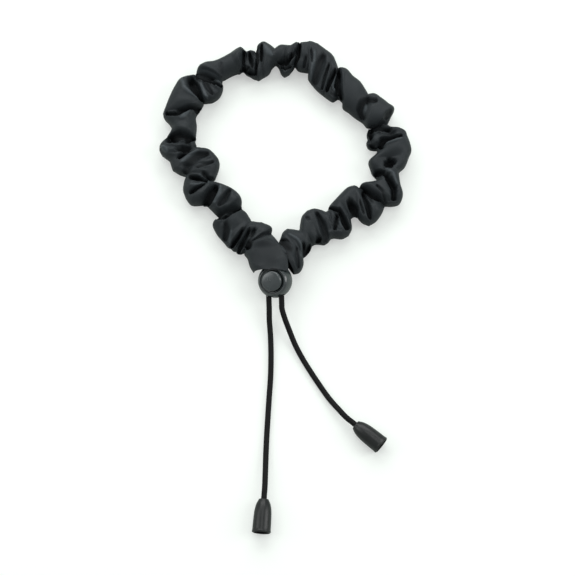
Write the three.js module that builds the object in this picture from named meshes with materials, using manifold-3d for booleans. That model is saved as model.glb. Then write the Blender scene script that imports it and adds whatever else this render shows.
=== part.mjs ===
// Ruched drawcord wrist band: a fabric tube gathered on a round cord, a ball cord lock with a
// sprung push button on both cord ends, and a bell-shaped end on each free tail.
// Millimetres, +Z up, lying on the table at z = 0.  The band is round the origin.

import * as THREE from 'three';
import * as BufferGeometryUtils from 'three/addons/utils/BufferGeometryUtils.js';
import Module from 'manifold-3d';

const wasm = await Module();
wasm.setup();

// ---- driving dimensions ----
const CORD_R = 1.3;           // round elastic cord
const GAP = 0.3;              // clearance between touching pieces
const CORD_SIDES = 8;

const LOCK_AT = new THREE.Vector3(-5, -56.5, 9.1);
const LOCK_PITCH = 16;        // degrees, cords run down to the table
const LOCK_ROLL = -18;        // degrees, the ball has rolled to the left
const LOCK_YAW = 2;
const BALL_R = 7.95;
const RIM_Z = 4.65;           // rounded bead round the button
const RIM_R = 6.1;
const BORE_R = 5.15;          // button bore
const BORE_FLOOR = -4.6;
const SEAT_R = 3.2;           // spring seat
const SEAT_FLOOR = -6.5;
const CORD_X = 3.1;           // the two cord holes, either side of the axis
const CORD_Z = 0.8;
const CORD_HOLE_R = 1.65;
const MOUTH_R = 2.25;         // rounded mouth of a cord hole

const BUTTON_R = 4.75;
const HEAD_R = 4.35;          // the part of the button that stands out of the bore
const BUTTON_TOP = 6.55;
const BUTTON_FOOT = -2.3;
const TRAVEL = 2.0;
const WEB_HALF = 1.5;         // web between the two cord slots
const SPRING_R = 2.5;
const SPRING_WIRE_R = 0.2;
const SPRING_TURNS = 2.75;

const BELL_LENGTH = 15.2;
const BELL_LIP_R = 4.3;
const BELL_BORE_R = 1.65;
const BELL_TILT = 2.5;        // degrees, mouth up
const KNOT_R = 2.6;
const KNOT_START = 3.4;       // from the bell's neck
const KNOT_LENGTH = 5.6;

const WALL = 0.9;             // doubled fabric at the casing's two mouths
const GATHERED_WALL = 1.9;    // the same with its folds pushed together
const PINCH = 0.87;           // width at a valley, against its two folds
const DIP = 0.7;              // height at a valley
const END_LEAN = 3;           // the tube's ends lean over the ball
const LEAN_FADE = 0.75;
const OUTER_SIDES = 10;
const INNER_SIDES = 8;

// Each fold of the casing crosses the band from its outside edge to its inside edge:
// [outside x, outside y, inside x, inside y, crest height], from the left end round to the right.
const FOLDS = [
  [-17.5, -47, -5.6, -44, 16], [-21.5, -43.5, -7, -37, 13.6], [-25.5, -41, -11.5, -28, 13],
  [-33, -32, -18, -23.5, 13.5], [-35.5, -21.5, -22, -15, 12.5], [-44.5, -18, -29.5, -8, 13],
  [-49, -10.5, -33, -4.5, 12.5], [-54, -1.5, -32, 1, 13.5], [-55, 4, -36.5, 7, 13],
  [-60, 9, -42, 11.5, 12], [-56.5, 22, -43, 20.5, 11], [-58.5, 27.5, -43, 27, 12],
  [-56.5, 35, -39.5, 33, 13.5], [-52.5, 44.5, -34, 36, 13.5], [-46.5, 48.5, -31, 41, 12],
  [-41.5, 53, -30.5, 45, 12.5], [-31, 56.5, -25, 48, 11.5], [-22, 62, -21.5, 49.5, 12],
  [-17, 59.5, -17, 47, 11.5], [-11.5, 64.9, -12.5, 45.5, 13.5], [-1.5, 63, -1, 47.5, 12],
  [8.5, 64.5, 7.5, 49.5, 12.5], [15, 63.5, 11.5, 45.5, 13], [22, 58, 17.5, 40, 13],
  [25.5, 52, 22.5, 34.5, 12], [29.5, 49.5, 27.5, 31, 13], [36.5, 43, 33.5, 26, 12.5],
  [44.5, 36, 39, 22, 12.5], [51.5, 29.5, 41, 20, 12], [56.5, 19.5, 39, 12.5, 12.5],
  [60, 9.5, 43.5, 8, 12], [57.5, 3, 40, 3, 13.5], [53, -3.5, 41.5, -4, 11.5],
  [54.5, -12, 39, -7, 12], [53, -18.5, 34.5, -8, 13.5], [44.5, -24.5, 31, -9.5, 13.5],
  [38.5, -28.5, 26, -13, 13], [31.5, -31.5, 21, -18.5, 12], [25.5, -35, 16.5, -20.5, 12],
  [18, -37.5, 10, -22.5, 13.5], [12.5, -39.5, 5.5, -29, 12], [9, -44, 0, -33, 14],
  [8.5, -48, -4.6, -38.5, 16.4],
];
// The two open ends lean over the ball: upper lip, and how far the lower lip stays behind it.
const LEFT_MOUTH = { row: [-16, -52.9, -5.3, -52.9, 16.8], floor: 3, lean: 8 };
const RIGHT_MOUTH = { row: [7, -51.4, -4.8, -49.4, 16.8], floor: 3, lean: 5.4 };

// Cord inside the casing, from the left cord hole round to the right one.
const INSIDE_ROUTE = [
  [-9.3, -43.6, 11.4], [-11.2, -41, 9.9], [-14.3, -38, 7.6], [-20, -32.5, 5.2], [-27, -24, 4.4],
  [-33.5, -15.8, 4.2], [-39.5, -9.2, 4.2], [-43.5, -1.5, 4.2], [-47.5, 8, 4.2],
  [-50.3, 20, 4.2], [-49.8, 29.5, 4.2], [-44.5, 39.2, 4.2], [-37.4, 48, 4.2], [-28, 53.2, 4.2],
  [-18.3, 55, 4.2], [-6.5, 55.4, 4.2], [6, 56, 4.2], [15.5, 51.8, 4.2], [22.8, 44.5, 4.2],
  [30.5, 38, 4.2], [39.5, 31, 4.2], [46.2, 22.5, 4.2], [49.8, 11.5, 4.2], [48.4, 1, 4.2],
  [47, -8.5, 4.2], [41, -15.2, 4.2], [33.3, -20, 4.2], [24.8, -25.6, 4.2], [16.3, -29, 4.4],
  [8.3, -34.8, 5.4], [3.6, -38.6, 8], [0.7, -42, 10.9], [-1.1, -45, 12.5],
];

// Free tails on the table, from where they leave the lock to the bell's neck.
const LEFT_TAIL = [
  [-7.7, -74, 3.8], [-7.3, -79, 2.5], [-7, -85, 1.5], [-6.9, -92, 1.38], [-7.1, -101, 1.36],
  [-7.7, -110, 1.36], [-8.3, -120, 1.36], [-8.8, -129, 1.42], [-9.1, -137, 2],
  [-9.3, -145, 3],
];
const RIGHT_TAIL = [
  [-0.6, -73.4, 5.8], [1.6, -79, 4], [4.4, -85.6, 2.2], [7.8, -92, 1.5], [11.7, -98.4, 1.36],
  [15.8, -104.7, 1.38], [20.1, -110.9, 1.75], [24.3, -116, 2.85],
];
const LEFT_BELL = { neck: [-9.9, -157, 3.92], heading: [-0.073, -0.997] };
const RIGHT_BELL = { neck: [31.8, -123.2, 3.92], heading: [0.77, -0.638] };

// ---- helpers ----
const deg = THREE.MathUtils.degToRad;

function toSolid(geometry) {
  const g = geometry.clone();
  g.deleteAttribute('normal');
  g.deleteAttribute('uv');
  const m = BufferGeometryUtils.mergeVertices(g, 1e-4);
  return new wasm.Manifold(new wasm.Mesh({
    numProp: 3,
    vertProperties: new Float32Array(m.attributes.position.array),
    triVerts: new Uint32Array(m.index.array),
  }));
}

function fromSolid(solid) {
  const mesh = solid.getMesh();
  const g = new THREE.BufferGeometry();
  g.setAttribute('position', new THREE.BufferAttribute(new Float32Array(mesh.vertProperties), 3));
  g.setIndex(new THREE.BufferAttribute(new Uint32Array(mesh.triVerts), 1));
  g.computeVertexNormals();
  return g;
}

// Turned piece round +Z from [radius, height] points.
function turned(points, sides) {
  const g = new THREE.LatheGeometry(points.map(([r, z]) => new THREE.Vector2(r, z)), sides);
  g.rotateX(Math.PI / 2);
  return g;
}

function roundTube(points, radius, steps, sides) {
  const curve = new THREE.CatmullRomCurve3(points, false, 'centripetal');
  const shape = new THREE.Shape();
  for (let i = 0; i < sides; i++) {
    const a = (i / sides) * Math.PI * 2;
    if (i === 0) shape.moveTo(radius, 0);
    else shape.lineTo(radius * Math.cos(a), radius * Math.sin(a));
  }
  return new THREE.ExtrudeGeometry(shape, { steps, extrudePath: curve, bevelEnabled: false });
}

function material(color, roughness, metalness = 0) {
  return new THREE.MeshStandardMaterial({ color, roughness, metalness });
}

function named(name, geometry, mat) {
  const mesh = new THREE.Mesh(geometry, mat);
  mesh.name = name;
  return mesh;
}

const asVectors = (rows) => rows.map(([x, y, z]) => new THREE.Vector3(x, y, z));

// ---- cord lock, built upright: button up +Z, cords along Y ----
function lockFrame() {
  const group = new THREE.Group();
  group.position.copy(LOCK_AT);
  group.rotation.set(deg(LOCK_PITCH), deg(LOCK_ROLL), deg(LOCK_YAW), 'ZXY');
  group.updateMatrixWorld(true);
  return group;
}

const lock = lockFrame();
const lockPoint = (x, y, z) => new THREE.Vector3(x, y, z).applyMatrix4(lock.matrixWorld);

function barrelGeometry() {
  const profile = [[0, -BALL_R]];
  for (let a = -78; a <= 30; a += 9) {
    profile.push([BALL_R * Math.cos(deg(a)), BALL_R * Math.sin(deg(a))]);
  }
  profile.push([RIM_R + 0.5, RIM_Z - 0.35], [RIM_R + 0.25, RIM_Z - 0.06], [RIM_R, RIM_Z]);
  profile.push([RIM_R - 0.25, RIM_Z - 0.1], [RIM_R - 0.4, RIM_Z - 0.4], [BORE_R, RIM_Z - 1.2]);
  profile.push([BORE_R, BORE_FLOOR], [SEAT_R, BORE_FLOOR], [SEAT_R, SEAT_FLOOR], [0, SEAT_FLOOR]);
  let solid = toSolid(turned(profile, 40));
  for (const side of [-1, 1]) {
    const mouth = 0.75;
    const hole = turned([
      [0, -9], [MOUTH_R, -9], [MOUTH_R, -7.3], [CORD_HOLE_R, -7.3 + mouth],
      [CORD_HOLE_R, 7.3 - mouth], [MOUTH_R, 7.3], [MOUTH_R, 9], [0, 9],
    ], 20);
    hole.rotateX(Math.PI / 2);
    hole.translate(side * CORD_X, 0, CORD_Z);
    solid = solid.subtract(toSolid(hole));
  }
  return fromSolid(solid);
}

function buttonGeometry() {
  const foot = BUTTON_FOOT;
  let solid = toSolid(turned([
    [0, foot - 0.9], [1.4, foot - 0.9], [1.7, foot - 0.6], [1.7, foot], [4.5, foot],
    [BUTTON_R, foot + 0.25], [BUTTON_R, RIM_Z - 1.4], [HEAD_R, RIM_Z - 1],
    [HEAD_R, BUTTON_TOP - 0.85], [HEAD_R - 0.2, BUTTON_TOP - 0.45], [HEAD_R - 0.6, BUTTON_TOP - 0.2],
    [2.6, BUTTON_TOP - 0.05], [0, BUTTON_TOP],
  ], 36));
  const low = CORD_Z - CORD_R - GAP;
  const high = CORD_Z + CORD_R + GAP + TRAVEL;
  const r = CORD_X - WEB_HALF;
  for (const side of [-1, 1]) {
    const slot = new THREE.Shape();
    slot.moveTo(3, 0);
    slot.lineTo(3, high - low);
    slot.lineTo(0, high - low);
    slot.absarc(0, high - low - r, r, Math.PI / 2, Math.PI, false);
    slot.absarc(0, r, r, Math.PI, Math.PI * 1.5, false);
    const cut = new THREE.ExtrudeGeometry(slot, { depth: 12, bevelEnabled: false, curveSegments: 5 });
    cut.translate(0, 0, -6);
    cut.rotateX(Math.PI / 2);
    if (side < 0) cut.rotateZ(Math.PI);
    cut.translate(side * CORD_X, 0, low);
    solid = solid.subtract(toSolid(cut));
  }
  return fromSolid(solid);
}

function springGeometry() {
  const low = SEAT_FLOOR + GAP + SPRING_WIRE_R;
  const high = BUTTON_FOOT - GAP - SPRING_WIRE_R;
  const steps = Math.round(SPRING_TURNS * 8);
  const points = [];
  for (let i = 0; i <= steps; i++) {
    const t = i / steps;
    const a = t * SPRING_TURNS * Math.PI * 2;
    points.push(new THREE.Vector3(
      SPRING_R * Math.cos(a), SPRING_R * Math.sin(a), low + (high - low) * t));
  }
  const pitch = (high - low) / SPRING_TURNS;
  console.log('spring: least gap between turns', (pitch - 2 * SPRING_WIRE_R).toFixed(2), 'mm');
  return roundTube(points, SPRING_WIRE_R, steps, 5);
}

// ---- bell-shaped cord end, neck at the origin, mouth along +Z ----
function bellGeometry() {
  const L = BELL_LENGTH;
  return turned([
    [BELL_BORE_R, 0], [1.98, 0], [2.35, 0.45], [2.66, 1], [3.12, 2], [3.43, 3], [3.82, 5], [3.97, 7],
    [4.07, 9.5], [4.12, L - 1.5], [BELL_LIP_R - 0.06, L - 1.1], [BELL_LIP_R, L - 0.6],
    [BELL_LIP_R - 0.12, L - 0.1], [BELL_LIP_R - 0.35, L], [3.6, L], [3.42, L - 0.5],
    [3.25, 5.4], [2.75, 3.3], [BELL_BORE_R, 2], [BELL_BORE_R, 0],
  ], 24);
}

function placeOnBell(mesh, bell) {
  const flat = Math.cos(deg(BELL_TILT));
  const dir = new THREE.Vector3(
    bell.heading[0] * flat, bell.heading[1] * flat, Math.sin(deg(BELL_TILT))).normalize();
  mesh.position.set(...bell.neck);
  mesh.quaternion.setFromUnitVectors(new THREE.Vector3(0, 0, 1), dir);
  return mesh;
}

function alongBell(bell, distance) {
  const probe = placeOnBell(new THREE.Object3D(), bell);
  return new THREE.Vector3(0, 0, distance).applyQuaternion(probe.quaternion).add(probe.position);
}

// Pulled-tight overhand knot: three rounded wraps running round an oval.
function knotGeometry() {
  const rings = 12;
  const sides = 18;
  const positions = [0, 0, KNOT_START];
  for (let i = 1; i < rings; i++) {
    const t = i / rings;
    const swell = Math.pow(Math.sin(Math.PI * t), 0.62);
    for (let j = 0; j < sides; j++) {
      const a = (j / sides) * Math.PI * 2;
      const wrap = 1 + 0.09 * (Math.cos(3 * a + 5 * t) - 1);
      const r = KNOT_R * swell * wrap;
      positions.push(r * Math.cos(a), r * Math.sin(a), KNOT_START + KNOT_LENGTH * t);
    }
  }
  positions.push(0, 0, KNOT_START + KNOT_LENGTH);
  const index = [];
  const last = positions.length / 3 - 1;
  for (let j = 0; j < sides; j++) {
    const k = (j + 1) % sides;
    index.push(0, 1 + k, 1 + j);
    for (let i = 0; i < rings - 2; i++) {
      const a = 1 + i * sides;
      index.push(a + j, a + k, a + sides + k, a + j, a + sides + k, a + sides + j);
    }
    index.push(last, last - sides + j, last - sides + k);
  }
  const g = new THREE.BufferGeometry();
  g.setAttribute('position', new THREE.Float32BufferAttribute(positions, 3));
  g.setIndex(index);
  g.computeVertexNormals();
  return g;
}

// ---- ruched casing ----
// A ring runs round the tube: flat underside, full sides, rounded crest.
function ring(row, floor, lean, sides, inset, fullness = 0.8) {
  const [ox, oy, ix, iy, top] = row;
  const half = Math.hypot(ix - ox, iy - oy) / 2 - inset;
  const ux = (ix - ox) / (half + inset) / 2;
  const uy = (iy - oy) / (half + inset) / 2;
  const low = floor + inset;
  const high = top - inset;
  const flat = Math.sin(Math.PI / sides);
  const points = [];
  for (let j = 0; j < sides; j++) {
    const a = (-0.5 + (j + 0.5) / sides * 2) * Math.PI;
    const across = Math.sign(Math.cos(a)) * Math.pow(Math.abs(Math.cos(a)), fullness);
    const up = (Math.sign(Math.sin(a)) * Math.pow(Math.abs(Math.sin(a)), fullness)
      / Math.pow(Math.cos(Math.asin(flat)), fullness) + 1) / 2;
    const z = low + (high - low) * THREE.MathUtils.clamp(up, 0, 1);
    const behind = lean * Math.pow(1 - THREE.MathUtils.clamp(up, 0, 1), 0.4);
    points.push(new THREE.Vector3(
      (ox + ix) / 2 + ux * half * across, (oy + iy) / 2 + uy * half * across + behind, z));
  }
  return points;
}

// How far a section's floor stays behind its top, counted in half folds from the tube's end.
const leanAt = (halfFolds) => Math.max(0, END_LEAN - LEAN_FADE * halfFolds);

// The valley between two folds; the ends of the tube are smooth.
function valleyAfter(i) {
  const a = FOLDS[i];
  const b = FOLDS[i + 1];
  const smooth = i < 2 || i > FOLDS.length - 5;
  const pinch = smooth ? 0.96 : PINCH;
  const mid = a.map((v, k) => (v + b[k]) / 2);
  const cx = (mid[0] + mid[2]) / 2;
  const cy = (mid[1] + mid[3]) / 2;
  return [cx + (mid[0] - cx) * pinch, cy + (mid[1] - cy) * pinch,
    cx + (mid[2] - cx) * pinch, cy + (mid[3] - cy) * pinch, mid[4] * (smooth ? 0.97 : DIP)];
}

function skin(rings, index, offset, flip) {
  const sides = rings[0].length;
  for (let i = 0; i + 1 < rings.length; i++) {
    for (let j = 0; j < sides; j++) {
      const k = (j + 1) % sides;
      const a = offset + i * sides;
      const quad = [a + j, a + k, a + sides + k, a + j, a + sides + k, a + sides + j];
      if (flip) quad.reverse();
      index.push(...quad);
    }
  }
}

// Closes a lip between the outer and the lining ring, which have different counts.
function lip(outer, inner, o, n, index, flip) {
  let j = 0;
  let k = 0;
  while (j < outer || k < inner) {
    const takeOuter = k >= inner || (j < outer && (j + 0.5) / outer <= (k + 0.5) / inner);
    const tri = takeOuter
      ? [o + (j % outer), o + ((j + 1) % outer), n + (k % inner)]
      : [o + (j % outer), n + ((k + 1) % inner), n + (k % inner)];
    if (takeOuter) j++;
    else k++;
    if (flip) tri.reverse();
    index.push(...tri);
  }
}

function casingGeometry() {
  const outer = [];
  const lining = [];
  const mouthRings = ({ row, floor, lean }) => {
    outer.push(ring(row, floor, lean, OUTER_SIDES, 0, 0.55));
    lining.push(ring(row, floor, lean, INNER_SIDES, WALL, 0.55));
  };
  mouthRings(LEFT_MOUTH);
  FOLDS.forEach((row, i) => {
    const fromEnd = 2 * Math.min(i, FOLDS.length - 1 - i);
    const end = fromEnd === 0;
    outer.push(ring(row, 0, leanAt(fromEnd), OUTER_SIDES, 0, end ? 0.6 : 0.8));
    if (end) lining.push(ring(row, 0, leanAt(fromEnd), INNER_SIDES, WALL, 0.6));
    if (i + 1 < FOLDS.length) {
      const valley = valleyAfter(i);
      const valleyFromEnd = 2 * Math.min(i, FOLDS.length - 2 - i) + 1;
      const lean = leanAt(valleyFromEnd);
      const fullness = valleyFromEnd === 1 ? 0.65 : 0.8;
      outer.push(ring(valley, 0, lean, OUTER_SIDES, 0, fullness));
      lining.push(ring(valley, 0, lean, INNER_SIDES, GATHERED_WALL, fullness));
    }
  });
  mouthRings(RIGHT_MOUTH);
  const positions = [];
  outer.flat().forEach((p) => positions.push(p.x, p.y, p.z));
  lining.flat().forEach((p) => positions.push(p.x, p.y, p.z));
  const start = outer.length * OUTER_SIDES;
  const index = [];
  skin(outer, index, 0, true);
  skin(lining, index, start, false);
  lip(OUTER_SIDES, INNER_SIDES, 0, start, index, false);
  lip(OUTER_SIDES, INNER_SIDES, start - OUTER_SIDES,
    start + (lining.length - 1) * INNER_SIDES, index, true);
  const g = new THREE.BufferGeometry();
  g.setAttribute('position', new THREE.Float32BufferAttribute(positions, 3));
  g.setIndex(index);
  g.computeVertexNormals();
  return g;
}

// ---- cords ----
function drawcordGeometry() {
  const points = [
    lockPoint(-CORD_X, -8, CORD_Z), lockPoint(-CORD_X, -4, CORD_Z), lockPoint(-CORD_X, 0, CORD_Z),
    lockPoint(-CORD_X, 4, CORD_Z), lockPoint(-CORD_X, 8, CORD_Z), lockPoint(-CORD_X, 10.3, CORD_Z),
    ...asVectors(INSIDE_ROUTE),
    lockPoint(CORD_X, 10, CORD_Z), lockPoint(CORD_X, 8, CORD_Z), lockPoint(CORD_X, 4, CORD_Z),
    lockPoint(CORD_X, 0, CORD_Z), lockPoint(CORD_X, -4, CORD_Z), lockPoint(CORD_X, -8, CORD_Z),
  ];
  return roundTube(points, CORD_R, 84, CORD_SIDES);
}

function tailGeometry(side, route, bell, steps) {
  const points = [
    lockPoint(side * CORD_X, -8.3, CORD_Z), lockPoint(side * CORD_X, -10.5, CORD_Z),
    lockPoint(side * CORD_X, -12.8, CORD_Z), ...asVectors(route),
    alongBell(bell, -5.5), alongBell(bell, -2), alongBell(bell, KNOT_START - GAP),
  ];
  return roundTube(points, CORD_R, steps, CORD_SIDES);
}

// ---- assembly ----
const fabric = 0x2b2d30;
const plastic = 0x3a4143;
const cordBlack = 0x1d1f21;
const object = new THREE.Group();

object.add(named('casing', casingGeometry(), material(fabric, 0.55)));
object.add(named('drawcord', drawcordGeometry(), material(cordBlack, 0.7)));
object.add(named('cord_tail_left', tailGeometry(-1, LEFT_TAIL, LEFT_BELL, 26),
  material(cordBlack, 0.7)));
object.add(named('cord_tail_right', tailGeometry(1, RIGHT_TAIL, RIGHT_BELL, 22),
  material(cordBlack, 0.7)));
for (const [side, bell] of [['left', LEFT_BELL], ['right', RIGHT_BELL]]) {
  object.add(placeOnBell(named('knot_' + side, knotGeometry(), material(cordBlack, 0.75)), bell));
  object.add(placeOnBell(named('bell_' + side, bellGeometry(), material(plastic, 0.45)), bell));
}
lock.add(named('lock_barrel', barrelGeometry(), material(plastic, 0.35)));
lock.add(named('lock_button', buttonGeometry(), material(plastic, 0.4)));
lock.add(named('lock_spring', springGeometry(), material(0x9a9c9e, 0.35, 1)));
object.add(lock);

export default object;
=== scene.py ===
"""Ruched drawcord wrist band on a white table.

A black satin tube is gathered on a round elastic cord.  Both cord ends pass through a ball cord
lock and carry a bell-shaped plastic end.  Everything is in metres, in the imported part's own frame.
"""

import math

import bmesh
import bpy
import numpy as np
from mathutils import Matrix, Vector


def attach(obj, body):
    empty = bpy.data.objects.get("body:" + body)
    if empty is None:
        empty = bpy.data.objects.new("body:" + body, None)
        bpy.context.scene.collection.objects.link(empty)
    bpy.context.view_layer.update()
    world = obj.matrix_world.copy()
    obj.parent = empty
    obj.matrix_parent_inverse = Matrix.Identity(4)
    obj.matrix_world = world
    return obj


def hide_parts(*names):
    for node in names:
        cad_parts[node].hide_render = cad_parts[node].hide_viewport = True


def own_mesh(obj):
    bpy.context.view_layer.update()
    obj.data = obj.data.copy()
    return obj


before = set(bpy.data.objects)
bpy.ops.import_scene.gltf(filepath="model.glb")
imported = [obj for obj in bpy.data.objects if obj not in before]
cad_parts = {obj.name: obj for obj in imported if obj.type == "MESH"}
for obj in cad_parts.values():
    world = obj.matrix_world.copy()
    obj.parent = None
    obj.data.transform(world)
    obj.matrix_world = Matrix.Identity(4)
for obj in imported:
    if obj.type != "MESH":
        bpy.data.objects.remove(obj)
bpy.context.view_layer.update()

MM = 0.001

# ---- camera: from the tails' side, 75 degrees above the table ----
LOOK_AT = Vector((0.00097, -0.05752, 0.0))
CAMERA_ABOVE = math.radians(75)
CAMERA_DISTANCE = 0.705
SENSOR_MM = 36
FOCAL_MM = 93.75
PHOTO_PIXELS = 576

CAMERA_TURN = Matrix.Rotation(math.pi / 2 - CAMERA_ABOVE, 3, "X")
CAMERA_AT = LOOK_AT + CAMERA_TURN @ Vector((0, 0, CAMERA_DISTANCE))


def make_camera():
    """A long lens, from where the photograph was taken."""
    data = bpy.data.cameras.new("camera")
    data.lens = FOCAL_MM
    data.sensor_width = SENSOR_MM
    data.clip_start = 0.01
    camera = bpy.data.objects.new("camera", data)
    camera.matrix_world = Matrix.Translation(CAMERA_AT) @ CAMERA_TURN.to_4x4()
    bpy.context.scene.collection.objects.link(camera)
    bpy.context.scene.camera = camera


def seen_at(u, v, height):
    """The point at that height above the table that the photograph shows at pixel (u, v)."""
    per_pixel = SENSOR_MM / FOCAL_MM / PHOTO_PIXELS
    middle = PHOTO_PIXELS / 2
    ray = CAMERA_TURN @ Vector(((u - middle) * per_pixel, (middle - v) * per_pixel, -1))
    return CAMERA_AT + ray * ((height - CAMERA_AT.z) / ray.z)


make_camera()

# ---- materials ----


class Value:
    """One output of a material's node; arithmetic on it adds Math nodes."""

    def __init__(self, tree, socket):
        self.tree = tree
        self.socket = socket

    def _with(self, operation, a, b):
        return node(self.tree, "ShaderNodeMath", {"operation": operation}, {0: a, 1: b})

    def __add__(self, other):
        return self._with("ADD", self, other)

    __radd__ = __add__

    def __sub__(self, other):
        return self._with("SUBTRACT", self, other)

    def __rsub__(self, other):
        return self._with("SUBTRACT", other, self)

    def __mul__(self, other):
        return self._with("MULTIPLY", self, other)

    __rmul__ = __mul__


def node(tree, kind, settings=None, inputs=None, output=0):
    """Adds a node, sets its settings first, then its sockets' values or links."""
    made = tree.nodes.new(kind)
    for name, value in (settings or {}).items():
        setattr(made, name, value)
    for name, value in (inputs or {}).items():
        if isinstance(value, Value):
            tree.links.new(value.socket, made.inputs[name])
        else:
            made.inputs[name].default_value = value
    return Value(tree, made.outputs[output])


def new_material(name, surface, **constants):
    """A Principled material: constants are set on its sockets, surface(tree) gives its links."""
    material = bpy.data.materials.new(name)
    material.use_nodes = True
    tree = material.node_tree
    shader = next(n for n in tree.nodes if n.type == "BSDF_PRINCIPLED")
    for socket, value in constants.items():
        shader.inputs[socket.replace("_", " ")].default_value = value
    for socket, value in surface(tree).items():
        tree.links.new(value.socket, shader.inputs[socket.replace("_", " ")])
    return material


def grey_mix(tree, amount, dark, light):
    """Between two colours by amount."""
    return node(tree, "ShaderNodeMix", {"data_type": "RGBA"},
                {"Factor": amount, "A": (*dark, 1), "B": (*light, 1)}, output=2)


def place(tree):
    """The piece's own coordinates in metres."""
    return node(tree, "ShaderNodeTexCoord", output=3)


def own_uv(tree):
    """The piece's UV map: metres along it and round it."""
    return node(tree, "ShaderNodeTexCoord", output=2)


def own_attribute(tree, name):
    """A value that the mesh holds at each vertex."""
    return node(tree, "ShaderNodeAttribute", {"attribute_name": name}, output=2)


def noise_at(tree, where, scale, detail=2.0, roughness=0.5):
    """Cloudy noise from 0 to 1."""
    return node(tree, "ShaderNodeTexNoise", None,
                {"Vector": where, "Scale": scale, "Detail": detail, "Roughness": roughness})


def stretched(tree, where, scale):
    """Coordinates multiplied by three numbers."""
    return node(tree, "ShaderNodeMapping", None, {"Vector": where, "Scale": scale})


def bump(tree, height, depth, strength):
    """The normal of a surface that height raises, by depth in metres."""
    return node(tree, "ShaderNodeBump", None,
                {"Height": height, "Distance": depth, "Strength": strength})


# How fine each pattern is, in repeats per metre: along the cloth or cord, round it and through
# it, or along X, Y and Z.
SATIN_THREADS = (900, 7500, 1)
SATIN_PICKS = 1100.0
SATIN_SLUBS = (60, 400, 1)
CORD_FIBRES = (2500, 9000, 1)
PLASTIC_SCUFFS = (900, 160, 500)
DRAWN_STEEL = (300, 300, 2500)
BLOTCHES = 90.0
CORD_WEAR = 160.0
MOTTLE = 260.0

# Each finish's darkest and lightest colour.
SATIN_COLORS = (0.0016, 0.0024, 0.0028), (0.050, 0.060, 0.065)
CORD_COLORS = (0.0014, 0.0015, 0.0015), (0.0130, 0.0134, 0.0138)
LOCK_COLORS = (0.003, 0.004, 0.004), (0.046, 0.062, 0.065)
BELL_COLORS = (0.001, 0.0013, 0.0013), (0.017, 0.021, 0.0205)
STEEL_COLORS = (0.50, 0.50, 0.51), (0.66, 0.66, 0.66)


def satin_surface(tree):
    """Warp-faced satin: fine threads and slubs, with painted shade in its folds and a painted
    highlight on its crests.
    """
    cloth = own_uv(tree)
    threads = noise_at(tree, stretched(tree, cloth, SATIN_THREADS), 1.0, 1.0)
    picks = node(tree, "ShaderNodeTexWave", {"wave_type": "BANDS", "bands_direction": "X"},
                 {"Vector": cloth, "Scale": SATIN_PICKS, "Distortion": 2.0, "Detail": 1.0,
                  "Detail Scale": 2.0}, output=1)
    slubs = noise_at(tree, stretched(tree, cloth, SATIN_SLUBS), 1.0, 3.0)
    blotches = noise_at(tree, place(tree), BLOTCHES, 3.0)
    painted_shade = own_attribute(tree, "painted_shade")
    # crest holds a painted highlight on the cloth's crests
    crest = own_attribute(tree, "crest")
    tone = threads * 0.35 + slubs * 0.35 + blotches * 0.3
    weave = threads * 0.7 + picks * 0.3
    # painted shade darkens the folds and hems; a painted highlight lightens the crests
    pale = (0.27 + tone * 0.36 + crest * 0.85) * (1 - painted_shade * 0.88)
    return {
        "Base_Color": grey_mix(tree, pale, *SATIN_COLORS),
        "Roughness": 0.38 + tone * 0.14 + painted_shade * 0.30 - crest * 0.06,
        "Normal": bump(tree, weave + slubs * 0.6, 0.00006, 0.5),
    }


def cord_surface(tree):
    """The cord's sleeve: matt fibres, with patches that are a little paler and rougher."""
    braid = own_uv(tree)
    fibres = noise_at(tree, stretched(tree, braid, CORD_FIBRES), 1.0, 2.0)
    wear = noise_at(tree, place(tree), CORD_WEAR, 3.0)
    tone = fibres * 0.6 + wear * 0.4
    return {
        "Base_Color": grey_mix(tree, tone, *CORD_COLORS),
        "Roughness": 0.42 + tone * 0.2,
        "Normal": bump(tree, fibres, 0.00004, 0.6),
    }


def moulded_surface(low, high, colors, grain):
    """Moulded plastic: a faint mottle, a fine skin and small scuffs; rougher inside, with painted
    shade darkening the bore.
    """
    def surface(tree):
        where = place(tree)
        mottle = noise_at(tree, where, MOTTLE, 3.0)
        skin = noise_at(tree, where, grain, 2.0)
        scuffs = noise_at(tree, stretched(tree, where, PLASTIC_SCUFFS), 1.0, 4.0, 0.7)
        worn = node(tree, "ShaderNodeMapRange", None,
                    {"Value": scuffs, "From Min": 0.58, "From Max": 0.78})
        inside = own_attribute(tree, "inside")
        # painted shade: the marked bore goes to the darkest colour
        pale = (0.35 + mottle * 0.5) * (1 - inside)
        return {
            "Base_Color": grey_mix(tree, pale, *colors),
            "Roughness": low + mottle * (high - low) + worn * 0.10 + inside * 0.4,
            "Normal": bump(tree, skin + worn * 0.5, 0.00003, 0.35),
        }
    return surface


def steel_surface(tree):
    """Drawn spring wire."""
    drawn = noise_at(tree, stretched(tree, place(tree), DRAWN_STEEL), 1.0, 3.0)
    return {
        "Base_Color": grey_mix(tree, drawn, *STEEL_COLORS),
        "Roughness": 0.22 + drawn * 0.18,
        "Normal": bump(tree, drawn, 0.00002, 0.4),
    }


satin = new_material("black_satin", satin_surface, Specular_IOR_Level=0.14)
braided_cord = new_material("braided_cord", cord_surface, Specular_IOR_Level=0.11)
lock_plastic = new_material("lock_plastic", moulded_surface(0.19, 0.30, LOCK_COLORS, 2600.0),
                            Specular_IOR_Level=0.82)
bell_plastic = new_material("bell_plastic", moulded_surface(0.29, 0.40, BELL_COLORS, 3400.0),
                            Specular_IOR_Level=0.36)
spring_steel = new_material("spring_steel", steel_surface, Metallic=1.0)

# ---- paths and lofted skins ----
CURVE_STEPS = 24              # points between two given points, before they are spaced evenly


def distances(points):
    """How far along a path each of its points lies."""
    return np.concatenate([[0], np.cumsum(np.linalg.norm(np.diff(points, axis=0), axis=1))])


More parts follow.
